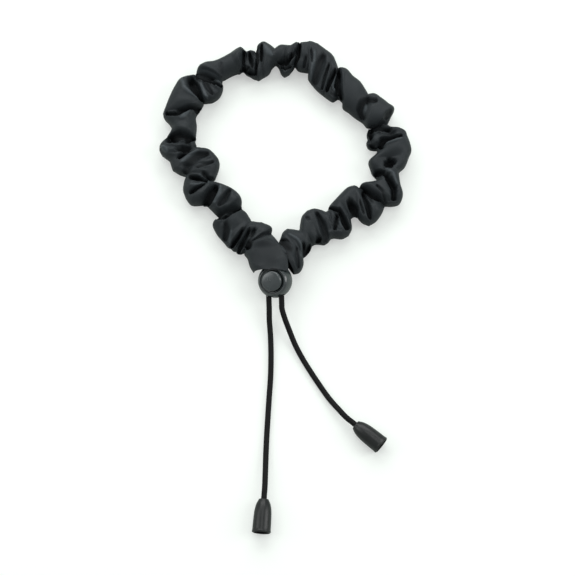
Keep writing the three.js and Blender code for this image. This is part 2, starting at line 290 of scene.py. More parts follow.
def smooth_path(points, spacing):
    """Evenly spaced points on the centripetal curve through given points."""
    p = np.array([tuple(q) for q in points], float)
    p = np.vstack([2 * p[0] - p[1], p, 2 * p[-1] - p[-2]])
    t = np.linspace(0, 1, CURVE_STEPS, endpoint=False)[:, None]
    fine = []
    for a, b, c, d in zip(p, p[1:], p[2:], p[3:]):
        ab, bc, cd = (np.linalg.norm(r - q) ** 0.5 for q, r in ((a, b), (b, c), (c, d)))
        leave = bc * ((b - a) / ab - (c - a) / (ab + bc) + (c - b) / bc)
        arrive = bc * ((c - b) / bc - (d - b) / (bc + cd) + (d - c) / cd)
        fine.append(b + leave * t + (3 * (c - b) - 2 * leave - arrive) * t ** 2
                    + (2 * (b - c) + leave + arrive) * t ** 3)
    fine = np.vstack(fine + [p[-2:-1]])
    run = distances(fine)
    at = np.linspace(0, run[-1], max(2, round(run[-1] / spacing) + 1))
    return np.stack([np.interp(at, run, fine[:, k]) for k in range(3)], axis=1)


def frames_along(path):
    """Tangent, side and up at each point of a path, without twist."""
    tangents = np.gradient(path, axis=0)
    tangents /= np.linalg.norm(tangents, axis=1)[:, None]
    side = np.cross(tangents[0], (0, 0, 1))
    if np.linalg.norm(side) < 0.1:
        side = np.cross(tangents[0], (1, 0, 0))
    sides = []
    for tangent in tangents:
        side = side - tangent * (side @ tangent)
        side = side / np.linalg.norm(side)
        sides.append(side)
    return tangents, np.array(sides), np.cross(tangents, sides)


def show(name, mesh, material, body, slot, smooth_angle=None):
    """Puts a finished mesh in the scene, on its body; its finish's slot is not used."""
    mesh.materials.clear()
    mesh.materials.append(material)
    mesh.polygons.foreach_set("use_smooth", [True] * len(mesh.polygons))
    if smooth_angle is not None:
        mesh.set_sharp_from_angle(angle=math.radians(smooth_angle))
    piece = bpy.data.objects.new(name, mesh)
    bpy.context.scene.collection.objects.link(piece)
    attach(piece, body)
    return piece


def skin(name, rings, caps=True):
    """A tube through rings [count, sides, 3], with a UV map in metres along it and round it."""
    count, sides = rings.shape[:2]
    points = rings.reshape(-1, 3).tolist()
    along = distances(rings.mean(axis=1))
    around = np.linalg.norm(np.roll(rings, -1, axis=1) - rings, axis=2).sum(axis=1).mean()
    faces, uvs = [], []
    for i in range(count - 1):
        for j in range(sides):
            k = (j + 1) % sides
            faces.append((i * sides + j, i * sides + k, (i + 1) * sides + k, (i + 1) * sides + j))
            v0, v1 = around * j / sides, around * (j + 1) / sides
            uvs += [(along[i], v0), (along[i], v1), (along[i + 1], v1), (along[i + 1], v0)]
    if caps:
        for ring, first, flip in ((0, 0, True), (count - 1, (count - 1) * sides, False)):
            points.append(rings[ring].mean(axis=0).tolist())
            for j in range(sides):
                k = (j + 1) % sides
                tri = (first + j, first + k, len(points) - 1)
                faces.append(tri[::-1] if flip else tri)
                uvs += [(along[ring], around * j / sides)] * 3
    mesh = bpy.data.meshes.new(name)
    mesh.from_pydata(points, [], faces)
    layer = mesh.uv_layers.new(name="cloth")
    layer.data.foreach_set("uv", [x for uv in uvs for x in uv])
    return mesh


def tube_rings(path, radius, sides, relief=None):
    """Circles along a path; relief(distance, angle) lifts the surface."""
    _, side, up = frames_along(path)
    run = distances(path)
    angle = np.linspace(0, 2 * math.pi, sides, endpoint=False)[None, :]
    reach = np.full((len(path), sides), radius)
    if relief is not None:
        reach = reach + relief(run[:, None], angle)
    return path[:, None] + reach[..., None] * (
        np.cos(angle)[..., None] * side[:, None] + np.sin(angle)[..., None] * up[:, None])


# ---- where the cord lock and the bells are ----
CORD_R = 1.3 * MM
LOCK_AT = Vector((-0.005, -0.0565, 0.0091))
LOCK_TURN = (Matrix.Rotation(math.radians(2), 3, "Z") @ Matrix.Rotation(math.radians(16), 3, "X")
             @ Matrix.Rotation(math.radians(-18), 3, "Y"))
CORD_X = 3.1 * MM             # the two cords lie this far either side of the lock's middle
CORD_Z = 0.8 * MM             # and this far above it
GAP = 0.3                     # clearance between touching pieces, in millimetres

# A bell's neck and the way that it points; the bell rises to its lip by BELL_TILT.
BELL_TILT = math.radians(2.5)
LEFT_BELL = (Vector((-0.0099, -0.1570, 0.00392)), Vector((-0.073, -0.997, 0)))
RIGHT_BELL = (Vector((0.0318, -0.1232, 0.00392)), Vector((0.77, -0.638, 0)))
KNOT_START = 3.4 * MM         # from the bell's neck
KNOT_LENGTH = 5.6 * MM


def at_lock(x, y, z):
    """A point given in the lock's own frame: button up +Z, cords along Y."""
    return LOCK_AT + LOCK_TURN @ Vector((x, y, z))


def bell_direction(bell):
    """Along the bell's axis, from its neck to its lip."""
    heading = bell[1].normalized()
    return (heading * math.cos(BELL_TILT) + Vector((0, 0, math.sin(BELL_TILT)))).normalized()


def along_bell(bell, distance):
    """A point on the bell's axis, past its neck."""
    return bell[0] + bell_direction(bell) * distance


def lock_matrix():
    """Takes a mesh from the lock's own frame to its place."""
    return Matrix.Translation(LOCK_AT) @ LOCK_TURN.to_4x4()


def bell_matrix(bell):
    """Takes a mesh with its neck at the origin and its lip up +Z to the bell's place."""
    turn = Vector((0, 0, 1)).rotation_difference(bell_direction(bell))
    return Matrix.Translation(bell[0]) @ turn.to_matrix().to_4x4()


# ---- cords ----
# Points that the cord's middle runs through, in metres: the tails from the lock to the bells, and
# the hidden stretch from the lock's left hole round the band to its right hole.
LEFT_TAIL = [
    (-0.0077, -0.0740, 0.00380), (-0.0073, -0.0790, 0.00250), (-0.0070, -0.0850, 0.00150),
    (-0.0069, -0.0920, 0.00138), (-0.0071, -0.1010, 0.00136), (-0.0077, -0.1100, 0.00136),
    (-0.0083, -0.1200, 0.00136), (-0.0088, -0.1290, 0.00142), (-0.0091, -0.1370, 0.00200),
    (-0.0093, -0.1450, 0.00300),
]
RIGHT_TAIL = [
    (-0.0006, -0.0734, 0.00580), (0.0016, -0.0790, 0.00400), (0.0044, -0.0856, 0.00220),
    (0.0078, -0.0920, 0.00150), (0.0117, -0.0984, 0.00136), (0.0158, -0.1047, 0.00138),
    (0.0201, -0.1109, 0.00175), (0.0243, -0.1160, 0.00285),
]
INSIDE_ROUTE = [
    (-0.0093, -0.0436, 0.0114), (-0.0112, -0.0410, 0.0099), (-0.0143, -0.0380, 0.0076),
    (-0.0200, -0.0325, 0.0052), (-0.0270, -0.0240, 0.0044), (-0.0335, -0.0158, 0.0042),
    (-0.0395, -0.0092, 0.0042), (-0.0435, -0.0015, 0.0042), (-0.0475, 0.0080, 0.0042),
    (-0.0503, 0.0200, 0.0042), (-0.0498, 0.0295, 0.0042), (-0.0445, 0.0392, 0.0042),
    (-0.0374, 0.0480, 0.0042), (-0.0280, 0.0532, 0.0042), (-0.0183, 0.0550, 0.0042),
    (-0.0065, 0.0554, 0.0042), (0.0060, 0.0560, 0.0042), (0.0155, 0.0518, 0.0042),
    (0.0228, 0.0445, 0.0042), (0.0305, 0.0380, 0.0042), (0.0395, 0.0310, 0.0042),
    (0.0462, 0.0225, 0.0042), (0.0498, 0.0115, 0.0042), (0.0484, 0.0010, 0.0042),
    (0.0470, -0.0085, 0.0042), (0.0410, -0.0152, 0.0042), (0.0333, -0.0200, 0.0042),
    (0.0248, -0.0256, 0.0042), (0.0163, -0.0290, 0.0044), (0.0083, -0.0348, 0.0054),
    (0.0036, -0.0386, 0.0080), (0.0007, -0.0420, 0.0109), (-0.0011, -0.0450, 0.0125),
]
HIDDEN_START = -7.0 * MM      # the visible cord starts inside the lock's hole
LEAVING = -0.0105, -0.0128    # and leaves it straight through these points
IN_HOLE = 0, 0.004, 0.008     # the hidden cord runs straight through these points of the hole
SPLIT_GAP = 0.0001            # and ends this far from the visible cord's start
INTO_BELL = -0.0055, -0.0020  # the cord runs straight into the bell from here
TAIL_SPACING = 0.22 * MM
TAIL_SIDES = 32
BRAID_CARRIERS = 8            # strands each way round the sleeve
BRAID_PITCH = 9.5 * MM        # one turn of a strand
BRAID_RELIEF = 0.045 * MM
BRAID_MIDDLE = 0.6            # height of a strand that lies at the cord's own radius
KNOT_SIZE = (0.50 * MM, 0.50 * MM, 0.85 * MM)
KNOT_CORD_R = 1.0 * MM        # the cord is squeezed where the knot is tight


def braid(distance, angle):
    """Crossing strands of the sleeve, lowest where they meet."""
    turn = 2 * math.pi * distance / BRAID_PITCH
    left = np.cos(BRAID_CARRIERS * (angle + turn))
    right = np.cos(BRAID_CARRIERS * (angle - turn))
    return BRAID_RELIEF * (np.maximum(left, right) - BRAID_MIDDLE)


def make_knot(name, bell, node_name):
    """A knot pulled tight: a closed trefoil of cord."""
    t = np.linspace(0, 2 * math.pi, 90, endpoint=False)
    lobes = np.stack([np.sin(t) + 2 * np.sin(2 * t), np.cos(t) - 2 * np.cos(2 * t),
                      -1.5 * np.sin(3 * t)], axis=1)
    path = lobes * KNOT_SIZE + (0, 0, KNOT_START + KNOT_LENGTH / 2)
    path = np.vstack([path, path[:1]])
    matrix = np.array(bell_matrix(bell))
    path = path @ matrix[:3, :3].T + matrix[:3, 3]
    mesh = skin(name, tube_rings(path, KNOT_CORD_R, 14), caps=False)
    weld(mesh, 0.35 * MM)
    knot = show(name, mesh, braided_cord, "band", "cord")
    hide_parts(node_name)
    return knot


def weld(mesh, distance):
    """Merges points that lie closer than a distance and turns every face outward."""
    body = bmesh.new()
    body.from_mesh(mesh)
    if distance:
        bmesh.ops.remove_doubles(body, verts=body.verts, dist=distance)
    bmesh.ops.recalc_face_normals(body, faces=body.faces)
    body.to_mesh(mesh)
    body.free()


def make_tail(side, route, bell, node_name):
    """A free stretch of cord, from inside the lock to the knot in its bell."""
    ends = [at_lock(side * CORD_X, y, CORD_Z) for y in (HIDDEN_START, *LEAVING)]
    neck = [along_bell(bell, d) for d in (*INTO_BELL, KNOT_START - 0.0003)]
    path = smooth_path(ends + [Vector(p) for p in route] + neck, TAIL_SPACING)
    mesh = skin(node_name, tube_rings(path, CORD_R, TAIL_SIDES, braid))
    piece = show(node_name + "_braid", mesh, braided_cord, "band", "cord")
    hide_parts(node_name)


def drawcord_path(spacing):
    """From the lock's left hole round the band and back to its right hole."""
    start = HIDDEN_START + SPLIT_GAP
    left = [at_lock(-CORD_X, y, CORD_Z) for y in (start, *IN_HOLE, 0.0103)]
    right = [at_lock(CORD_X, y, CORD_Z) for y in (0.010, *reversed(IN_HOLE), start)]
    return smooth_path(left + [Vector(p) for p in INSIDE_ROUTE] + right, spacing)


def make_drawcord():
    """The hidden stretch of cord, without a braid's relief."""
    mesh = skin("drawcord_braid", tube_rings(drawcord_path(0.6 * MM), CORD_R, 20))
    piece = show("drawcord_braid", mesh, braided_cord, "band", "cord")
    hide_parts("drawcord")


# ---- turned and moulded plastic ----


def arc(centre_r, centre_z, radius, start, end, steps):
    """Points of an arc in a turning profile, angles in degrees from outward."""
    return [(centre_r + radius * math.cos(math.radians(a)),
             centre_z + radius * math.sin(math.radians(a)))
            for a in np.linspace(start, end, steps)]


def turned_mesh(name, profile, steps=96):
    """A piece turned round Z from (radius, height) points in millimetres."""
    body = bmesh.new()
    verts = [body.verts.new((r * MM, 0, z * MM)) for r, z in profile]
    edges = [body.edges.new(pair) for pair in zip(verts, verts[1:])]
    if profile[0][0] > 0:
        edges.append(body.edges.new((verts[-1], verts[0])))
    bmesh.ops.spin(body, geom=verts + edges, cent=(0, 0, 0), axis=(0, 0, 1),
                   angle=2 * math.pi, steps=steps, use_merge=True)
    bmesh.ops.remove_doubles(body, verts=body.verts, dist=0.002 * MM)
    bmesh.ops.recalc_face_normals(body, faces=body.faces)
    mesh = bpy.data.meshes.new(name)
    body.to_mesh(mesh)
    body.free()
    return mesh


def paint_bore_shade(mesh, is_inside):
    """Marks a turned piece's bore, which is rougher and gets painted shade."""
    layer = mesh.attributes.new("inside", "FLOAT", "POINT")
    layer.data.foreach_set("value", [
        float(is_inside(math.hypot(v.co.x, v.co.y) / MM, v.co.z / MM)) for v in mesh.vertices])


def cut(mesh, cutters):
    """The mesh with the cutters taken out of it."""
    scene = bpy.context.scene
    target = bpy.data.objects.new("cut_target", mesh)
    scene.collection.objects.link(target)
    helpers = []
    for cutter in cutters:
        helper = bpy.data.objects.new("cutter", cutter)
        scene.collection.objects.link(helper)
        helpers.append(helper)
        modifier = target.modifiers.new("cut", "BOOLEAN")
        modifier.operation = "DIFFERENCE"
        modifier.solver = "EXACT"
        modifier.object = helper
    bpy.context.view_layer.update()
    made = bpy.data.meshes.new_from_object(target.evaluated_get(
        bpy.context.evaluated_depsgraph_get()))
    for thing in [target] + helpers:
        bpy.data.objects.remove(thing)
    return made


def show_moved(name, mesh, matrix, *args, **kwargs):
    """Puts a mesh at its place and shows it."""
    mesh.transform(matrix)
    return show(name, mesh, *args, **kwargs)


# The lock's sizes in millimetres.
BALL_R = 7.95
RIM_Z = 4.65                  # top of the bead round the button
RIM_R = 6.0
BEAD_R = 0.42
BORE_R = 5.15
LEDGE_R = 4.95                # the bore's narrow lip under the bead
BORE_FLOOR = -4.6
SEAT_R = 3.2
SEAT_FLOOR = -6.5
HOLE_R = 1.65
HOLE_STRAIGHT = 5.6           # a cord hole is straight up to here
FLARE_WIDE = 0.9              # and widens by this much
FLARE_LONG = 1.7              # over this length
BUTTON_R = 4.75
HEAD_R = BUTTON_R             # the part of the button that stands out of the bore
HEAD_ROUND = 0.9
BUTTON_TOP = 6.55
BUTTON_FOOT = -2.3
WEB_HALF = 1.5                # web between the two cord slots
SLOT_WIDE = 5                 # from the web to past the button's side
SLOT_LONG = 12
TRAVEL = 2.0                  # how far the button can be pressed


def cord_hole_cutter(side):
    """A cord hole right through the ball, with rounded mouths."""
    half = [(HOLE_R, HOLE_STRAIGHT)]
    half += [(HOLE_R + FLARE_WIDE * (1 - math.cos(math.radians(a))),
              HOLE_STRAIGHT + FLARE_LONG * math.sin(math.radians(a))) for a in (15, 30, 45, 60, 75)]
    half += [(3.0, 9.5), (0, 9.5)]
    profile = [(r, -z) for r, z in reversed(half)] + [(HOLE_R, -0.0)] + half
    mesh = turned_mesh("cord_hole", profile, 40)
    mesh.transform(Matrix.Translation((side * CORD_X, 0, CORD_Z))
                   @ Matrix.Rotation(math.pi / 2, 4, "X"))
    return mesh


def make_barrel():
    """The ball: a beaded rim, a stepped bore with the spring's seat, and two cord holes."""
    profile = [(0, -BALL_R)] + arc(0, 0, BALL_R, -86, 31, 44)
    profile += arc(RIM_R, RIM_Z - BEAD_R, BEAD_R, 15, 200, 12)
    profile += [(5.3, RIM_Z - 0.66), (LEDGE_R + 0.12, RIM_Z - 0.68), (LEDGE_R, RIM_Z - 0.85),
                (LEDGE_R, RIM_Z - 1.2), (BORE_R, RIM_Z - 1.4), (BORE_R, BORE_FLOOR + 0.3),
                (BORE_R - 0.3, BORE_FLOOR), (SEAT_R, BORE_FLOOR), (SEAT_R, SEAT_FLOOR),
                (0, SEAT_FLOOR)]
    mesh = cut(turned_mesh("barrel", profile, 112), [cord_hole_cutter(s) for s in (-1, 1)])
    piece = show_moved("lock_ball", mesh, lock_matrix(), lock_plastic, "lock", "lock_plastic",
                       smooth_angle=38)
    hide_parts("lock_barrel")


def button_slot(side):
    """The open slot that a cord runs through: rounded inside, open to the button's side."""
    low = (CORD_Z - CORD_R) / MM - GAP
    high = (CORD_Z + CORD_R) / MM + GAP + TRAVEL
    body = bmesh.new()
    bmesh.ops.create_cube(body, size=1)
    bmesh.ops.scale(body, verts=body.verts,
                    vec=(SLOT_WIDE * MM, SLOT_LONG * MM, (high - low) * MM))
    inner = [e for e in body.edges if all(v.co.x < 0 for v in e.verts)
             and abs(e.verts[0].co.y - e.verts[1].co.y) > MM]
    bmesh.ops.bevel(body, geom=inner, offset=(CORD_X / MM - WEB_HALF) * 0.98 * MM, segments=8,
                    affect="EDGES", profile=0.5, material=-1)
    bmesh.ops.translate(body, verts=body.verts,
                        vec=((WEB_HALF + SLOT_WIDE / 2) * MM, 0, (low + high) / 2 * MM))
    if side < 0:
        bmesh.ops.rotate(body, verts=body.verts, matrix=Matrix.Rotation(math.pi, 3, "Z"))
    mesh = bpy.data.meshes.new("button_slot")
    body.to_mesh(mesh)
    body.free()
    return mesh


def make_button():
    """The push button: a rounded head, a slot each side for the cords, a peg for the spring."""
    profile = [(0, BUTTON_FOOT - 0.9), (1.4, BUTTON_FOOT - 0.9), (1.7, BUTTON_FOOT - 0.6),
               (1.7, BUTTON_FOOT), (4.45, BUTTON_FOOT), (BUTTON_R, BUTTON_FOOT + 0.3)]
    profile += [(BUTTON_R, RIM_Z - 1.5), (HEAD_R, RIM_Z - 1.2)]
    profile += arc(HEAD_R - HEAD_ROUND, BUTTON_TOP - 0.22 - HEAD_ROUND, HEAD_ROUND, 0, 70, 9)
    profile += [(3.5, BUTTON_TOP - 0.14), (2.6, BUTTON_TOP - 0.06), (1.5, BUTTON_TOP - 0.01),
                (0, BUTTON_TOP)]
    mesh = cut(turned_mesh("button", profile, 96), [button_slot(s) for s in (-1, 1)])
    piece = show_moved("lock_push_button", mesh, lock_matrix(), lock_plastic, "button",
                       "lock_plastic", smooth_angle=34)
    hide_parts("lock_button")


def make_spring():
    """The compression spring under the button."""
    wire, radius, turns = 0.2 * MM, 2.5 * MM, 2.75
    low = (SEAT_FLOOR + GAP) * MM + wire
    high = (BUTTON_FOOT - GAP) * MM - wire
    t = np.linspace(0, 1, 180)
    angle = t * turns * 2 * math.pi
    path = np.stack([radius * np.cos(angle), radius * np.sin(angle), low + (high - low) * t], axis=1)
    mesh = skin("spring", tube_rings(path, wire, 12))
    piece = show_moved("lock_spring_wire", mesh, lock_matrix(), spring_steel, "lock",
                       "spring_steel")
    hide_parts("lock_spring")
    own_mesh(piece)


# A bell's sizes in millimetres, from its neck; its outside as (radius, height) points.
BELL_LENGTH = 15.2
LIP_R = 4.3
SHOULDER = [(2.38, 0.45), (2.67, 1.0), (3.12, 2.0), (3.44, 3.0), (3.81, 5.0), (3.97, 7.0),
            (4.07, 9.5), (4.12, 12.0), (4.13, 13.7)]


def in_bell_bore(r, z):
    """Whether a point of the bell lies on the inner side of its wall."""
    return z > 0.4 and r < np.interp(z, (0, 2, 5, 13.99, 14), (1.8, 2.4, 3.5, 3.5, 3.75))


def make_bell(name, bell, body, node_name):
    """A bell-shaped cord end, neck at the origin: tapered shoulder, straight skirt, rounded lip."""
    profile = arc(1.83, 0.18, 0.18, 180, 270, 4) + arc(1.95, 0.35, 0.35, 270, 345, 5)
    profile += smooth_path([(r, z, 0) for r, z in SHOULDER], 0.45)[:, :2].tolist()
    profile += arc(LIP_R - 0.5, BELL_LENGTH - 0.6, 0.5, -25, 90, 9)
    profile += arc(LIP_R - 0.5, BELL_LENGTH - 0.4, 0.4, 95, 180, 5)
    profile += [(3.38, BELL_LENGTH - 1.6), (3.25, 5.4), (2.75, 3.3), (1.65, 2.0)]
    mesh = turned_mesh(name, profile, 96)
    paint_bore_shade(mesh, in_bell_bore)
    piece = show_moved(name, mesh, bell_matrix(bell), bell_plastic, body, "bell_plastic",
                       smooth_angle=50)
    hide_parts(node_name)
    return piece


bell_left = make_bell("bell_end_left", LEFT_BELL, "left_bell", "bell_left")
bell_right = make_bell("bell_end_right", RIGHT_BELL, "right_bell", "bell_right")
knot_left = make_knot("tied_knot_left", LEFT_BELL, "knot_left")
knot_right = make_knot("tied_knot_right", RIGHT_BELL, "knot_right")
make_tail(-1, LEFT_TAIL, LEFT_BELL, "cord_tail_left")
make_tail(1, RIGHT_TAIL, RIGHT_BELL, "cord_tail_right")
make_drawcord()
make_barrel()
make_button()
make_spring()

# ---- the gathered satin casing ----
# Each line crosses the band along a fold's crest or a crease, clockwise from the lock's left:
# the photograph's pixel (u, v) on the outside edge, the one on the inside edge, then the cloth's
# height in millimetres outside, in the middle and inside.
FOLD_LINES = [
    (240, 253.5, 271, 234, 8, 10, 9),
    (238, 253, 272, 229, 12, 13.5, 13.5), (236, 251, 262, 223, 8, 8.5, 11),
    (233, 250, 256, 222.5, 12, 12.5, 12), (231, 248, 253, 222, 8, 8, 10),
    (229, 247, 252, 222, 12.5, 12.5, 11.5), (224, 242, 250, 219, 9.5, 10.5, 11.5),
    (216, 232, 246, 213, 10, 14, 13.5), (213, 224, 243, 210.5, 12, 13.5, 12.5),
    (219, 217.5, 241, 208.5, 6, 6, 6.5), (214, 212, 241.5, 201, 12, 13, 13),
    (209, 207, 239, 195, 12.5, 12, 13), (208, 205, 228, 187, 11, 12.5, 12),
    (205, 205, 218, 183, 6, 6.5, 8), (200, 204.5, 214, 182, 10.5, 11.5, 9.5),
    (191, 204, 211, 181.5, 13, 13, 10), (186, 198, 209, 181.5, 9.5, 9, 8.5),
    (183.5, 190, 208.5, 181, 12.5, 12, 10), (184.5, 182, 209, 180.5, 9, 7, 7.5),
    (186, 176, 211, 180, 12.5, 12, 11), (183, 174.5, 215, 179, 9.5, 10, 11),
    (178, 173, 219, 168, 12, 12.5, 13.5), (173, 170, 219.5, 164, 10.5, 8.5, 11),
    (172, 167, 218.5, 160, 12, 12.5, 13.5), (170.5, 162, 214, 154, 11, 11, 13),
    (169, 160, 210, 150.5, 11.5, 13.5, 13.5), (166, 158, 202, 149, 11, 6.5, 8.5),
    (162, 154.5, 197, 149.5, 12, 12, 8.5), (160, 151, 196.5, 147, 12.5, 6.5, 8),
    (160, 147, 195.5, 143.5, 12.5, 11, 11), (167, 138, 195, 141, 6.5, 6, 7),
    (171.5, 131, 195.5, 137, 11, 12.5, 12), (170.5, 125, 196.5, 126, 12, 12.5, 12),
    (164, 117, 196, 116, 12.5, 12.5, 12.5), (163.5, 113.5, 199, 112, 6.5, 6.5, 9),
    (166, 107, 203, 105, 12, 13, 12.5), (170, 97, 203, 103.5, 13, 13.5, 12),
    (175, 87, 202, 101, 13, 13.5, 10), (180, 80, 203, 102.5, 13, 11, 9),
    (187, 77, 206, 103, 9, 5, 8), (192, 76, 213, 101.5, 9.5, 9, 12.5),
    (195, 75.5, 220, 96, 8.5, 10, 13), (196, 75, 223, 87, 7.5, 8.5, 12.5),
    (196.5, 74, 222, 84, 6, 6, 6.5), (198, 69, 222.5, 80, 12.5, 12.5, 12.5),
    (203, 64.5, 225, 78.5, 12.5, 13, 12.5), (214, 62.5, 231, 75, 12.5, 13, 12),
    (228, 56, 237, 72.5, 12.5, 13, 12), (240, 48.5, 241, 71.5, 13, 13, 12.5),
    (245, 51, 243.5, 71.5, 8, 7, 6.5), (247, 53, 247, 74, 11.5, 11.5, 11),
    (250, 51.5, 250, 76, 8.5, 6.5, 7), (253, 52, 254, 78, 12, 12, 11),
    (256, 53, 256.5, 79, 7.5, 7.5, 9), (258, 46, 259, 79.5, 12.5, 13, 13),
    (262, 43, 262.5, 77.5, 11, 8.5, 8.5), (265, 43, 266.5, 75, 13.5, 13.5, 12.5),
    (270, 46, 270, 71.5, 13, 13.5, 12), (275, 50, 271.5, 67.5, 11.5, 13, 12),
    (281, 46.5, 276, 64, 12.5, 13, 12), (286, 46.5, 279, 67.5, 13, 13, 9),
    (289, 47, 281, 73, 12.5, 8, 6), (291, 46.5, 284, 76, 12, 10, 10.5),
    (294, 45, 289, 74, 12, 7.5, 11), (297, 43.5, 293, 69, 12, 12, 10),
    (300, 43.5, 295, 66.5, 7.5, 7, 8), (303, 43.5, 298, 69.5, 12.5, 12.5, 12),
    (307, 43, 303, 71, 12.5, 13, 12.5), (309, 42.3, 308.5, 72, 11.5, 11, 10),
    (312, 42.5, 308, 77.5, 13, 13.5, 13), (318, 45, 311, 83, 12.5, 9, 9.5),
    (325, 50, 316, 88.5, 13, 12.5, 11.5), (331, 54.5, 321, 93, 13.5, 13, 12.5),
    (334, 58, 324, 95.5, 12.5, 11, 8.5), (336, 63, 329, 99, 12.5, 13, 12.5),
    (337.5, 67, 333, 101, 11, 12.5, 12.5), (338, 68.5, 338, 99, 6, 6, 7),
    (341, 68.3, 342, 100.5, 12, 12.5, 12), (346, 69.5, 342.5, 106.5, 13, 13.5, 12.5),
    (353, 77, 349, 112, 13.5, 13.5, 12.5), (360, 82.5, 355, 117, 13, 13, 11.5),
    (365, 90, 359.5, 120, 11.5, 10, 8.5), (368, 95, 363, 122.5, 9, 7.5, 7),
    (374, 94.3, 366, 126, 12.5, 12.5, 12.5), (381, 98.5, 368, 127, 13, 13.5, 13),
    (388, 104, 371, 127, 13, 13.5, 12.5), (394, 109.5, 375, 126.8, 13, 13, 11.5),
    (391, 116, 377, 126.8, 9.5, 11, 9), (387, 125, 369, 129, 6, 6, 6),
    (393, 129, 367, 135, 12, 12, 11), (400, 129.5, 368, 140, 13, 9, 8),
    (405, 132, 366.5, 144, 12.5, 8, 10.5), (407, 136.5, 369, 148.5, 12.5, 12, 11),
    (409.5, 143, 377, 149.5, 13, 13.5, 12.5), (411, 149.5, 376.5, 153.5, 13, 13.5, 12.5),
    (408.5, 157.5, 369, 161.5, 12, 7, 12), (404, 167.5, 370, 168, 11, 8, 11),
    (399, 172, 372.5, 174, 11.5, 10.5, 8), (398.5, 176, 376, 178, 12.5, 8.5, 8),
    (400, 185, 379, 180.5, 12, 9, 10.5), (402.5, 195, 376, 181.8, 12.5, 9.5, 12),
    (399, 203.5, 370, 182.5, 12.5, 12, 12.5), (391, 205.5, 362, 184, 12, 12, 11),
    (384.5, 206, 359.5, 187.5, 7, 7, 7), (381, 214, 359, 189.5, 12.5, 12.5, 12),
    (375.5, 221, 358.5, 188.5, 13, 12, 9.5), (369, 225, 358, 188, 11.5, 9.5, 9),
    (363, 222.5, 357, 187, 12.5, 12, 11), (357, 216.5, 354, 186.2, 8.5, 9, 11.5),
    (354, 216, 348, 188, 9.5, 11.5, 13), (351, 218, 342, 193, 10.5, 12.5, 13),
    (351, 222, 336, 199.5, 8, 9, 12.5), (351.5, 229, 331.5, 204, 12.5, 12, 11),
    (348.5, 235, 329.5, 206.5, 11, 8.5, 9), (342, 238, 328.5, 208.5, 12.5, 12, 10.5),
    (334, 237.5, 328, 211, 9.5, 8, 8.5), (331, 238, 326, 212.3, 11.5, 12, 10),
    (328.5, 241.5, 322, 211, 8, 8.5, 11), (324.5, 244, 314, 209.5, 12, 11, 13.5),
    (320, 243.8, 307, 211.5, 8.5, 11.5, 13.5), (315.5, 243.5, 302, 217, 12, 13, 13.5),
    (312, 245, 300, 226, 8.5, 12.5, 12.5), (310, 250, 299, 231, 11, 12, 11.5),
    (306, 254.5, 293, 230.2, 11, 12.5, 13), (303, 257.5, 287, 229.5, 9.5, 13, 13.5),
    (303.5, 262, 283, 233, 13.5, 12.5, 13), (302, 268, 281, 238, 14.5, 15, 15),
    (298.5, 272, 279, 243, 15, 17, 16.5), (294, 273, 278, 248, 15, 17.5, 17),
]
# The tube's left end is a smooth panel that laps over the lock and over the right end.  These are
# its lines from the mouth back: (u, v, u, v), heights, then the under layer's height outside and
# inside, and how far the under layer stays behind the upper one.
PANEL_LINES = [
    (254, 272.5, 288, 271, 16.3, 17.0, 16.4, 3.0, 13.9, 8.0),
    (250.5, 267, 287.5, 264, 16.5, 17.2, 16.9, 2.4, 14.6, 6.5),
    (248, 259, 286, 256, 16.4, 17.1, 16.9, 1.5, 14.6, 4.0),
    (245, 255, 281.5, 246.5, 15.4, 16.3, 15.7, 0.6, 11.5, 1.5),
    (243, 250, 273, 236, 13.4, 15.0, 14.0, 0.4, 4.0, 0.0),
]
# Lengths are in millimetres from here on, unless a line says pixels.
EDGE = 0.45                   # height of a section's side edges, as a share of its own
FULLNESS = 2.4                # superellipse power of a section
HEIGHTS_AT = 0.6              # a line's outer and inner heights lie at this share of half its width
HEIGHTS_TO = 0.75             # and the curve through them runs on to this share
LEAN_EASE = 0.4               # a low power: an under layer falls back soon below its side edges
TABLE_GAP = 0.4               # between the table and the cloth's middle surface
RAISED_BELOW = 12.0           # a line that is lower than this lifts off the table
RAISE = 0.2                   # by this share of what it is lower
RING_SPACING = 0.45           # between the loft's rings
LEAST_STEP = 0.8              # between two fold lines
CREASE = 1.6                  # a crease is this much steeper than the straight line to it
PINCH = 0.9                   # and the edges' plan turns sharply at a pinch, by this share
TOP_SIDES = 30
UNDER_SIDES = 16
CLOTH_THICKNESS = 0.25
HEM_DEPTH = 4.5               # how far the cloth goes back inside the tube at its mouths
HEM_INSET = 0.7               # how far inside the outer layer it stays
LIP_INSET = 0.35              # and at the mouth's lip
INSET_MOST = 0.4              # but no more than this share of the way to the tube's middle
HEM_BELOW = 0.35              # and how much further above or below
HEM_SIDE = 0.6                # where it lies higher or lower than the middle by this or more
PUFF = 12.6                   # height of a plain puff, which the fold lines' heights stay near
KEPT = 0.4                    # share of a fold line's own height that is kept
PINCHED_BELOW = 8.0           # a line that is lower than this all across is a real pinch
